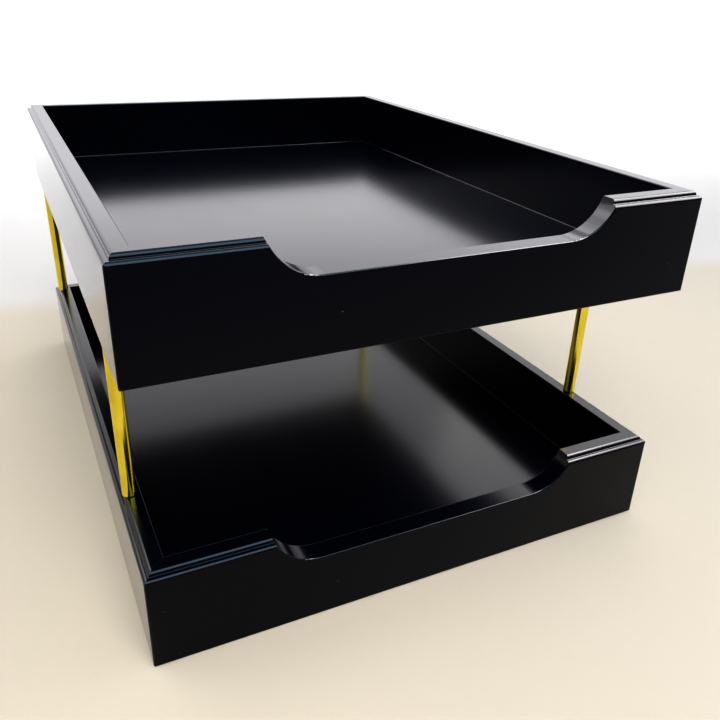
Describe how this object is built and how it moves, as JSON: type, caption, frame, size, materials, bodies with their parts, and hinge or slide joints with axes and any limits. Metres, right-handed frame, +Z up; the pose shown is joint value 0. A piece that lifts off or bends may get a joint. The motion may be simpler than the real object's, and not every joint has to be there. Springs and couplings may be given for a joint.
{
  "type": "letter tray",
  "caption": "Stacking desk letter tray: lacquered open-topped boxes with moulded rims and scooped fronts, the upper one standing on slender round brass posts.",
  "frame": {"origin": "middle of the bounding box on the resting face: on the table under the centre of the tray", "axes": "+X to the right seen from the scooped front, +Y from front to back, +Z up"},
  "size_m": [0.2604, 0.3414, 0.1778],
  "materials": {
    "black_lacquer": "black lacquer, smooth satin gloss",
    "bare_wood": "plain, glued",
    "polished_brass": "polished",
    "turned_brass": "as turned",
    "zinc_steel": "zinc plated"
  },
  "bodies": {
    "lower_tray": {"lower_front_board": "black_lacquer", "lower_back_board": "black_lacquer", "lower_left_side": "black_lacquer", "lower_right_side": "black_lacquer", "lower_bottom_panel": "black_lacquer", "lower_front_left_spline": "bare_wood", "lower_front_right_spline": "bare_wood", "lower_rear_left_spline": "bare_wood", "lower_rear_right_spline": "bare_wood", "front_left_post": "polished_brass", "front_right_post": "polished_brass", "rear_left_post": "polished_brass", "rear_right_post": "polished_brass", "dowel_screws": "zinc_steel", "locating_pins": "zinc_steel"},
    "upper_tray": {"upper_front_board": "black_lacquer", "upper_back_board": "black_lacquer", "upper_left_side": "black_lacquer", "upper_right_side": "black_lacquer", "upper_bottom_panel": "black_lacquer", "upper_front_left_spline": "bare_wood", "upper_front_right_spline": "bare_wood", "upper_rear_left_spline": "bare_wood", "upper_rear_right_spline": "bare_wood", "front_left_socket": "turned_brass", "front_right_socket": "turned_brass", "rear_left_socket": "turned_brass", "rear_right_socket": "turned_brass"}
  },
  "joints": [
    {"name": "upper_tray_lift", "type": "slide", "parent": "lower_tray", "child": "upper_tray", "axis": [0, 0, 1], "range_m": [0, 0.03]}
  ]
}
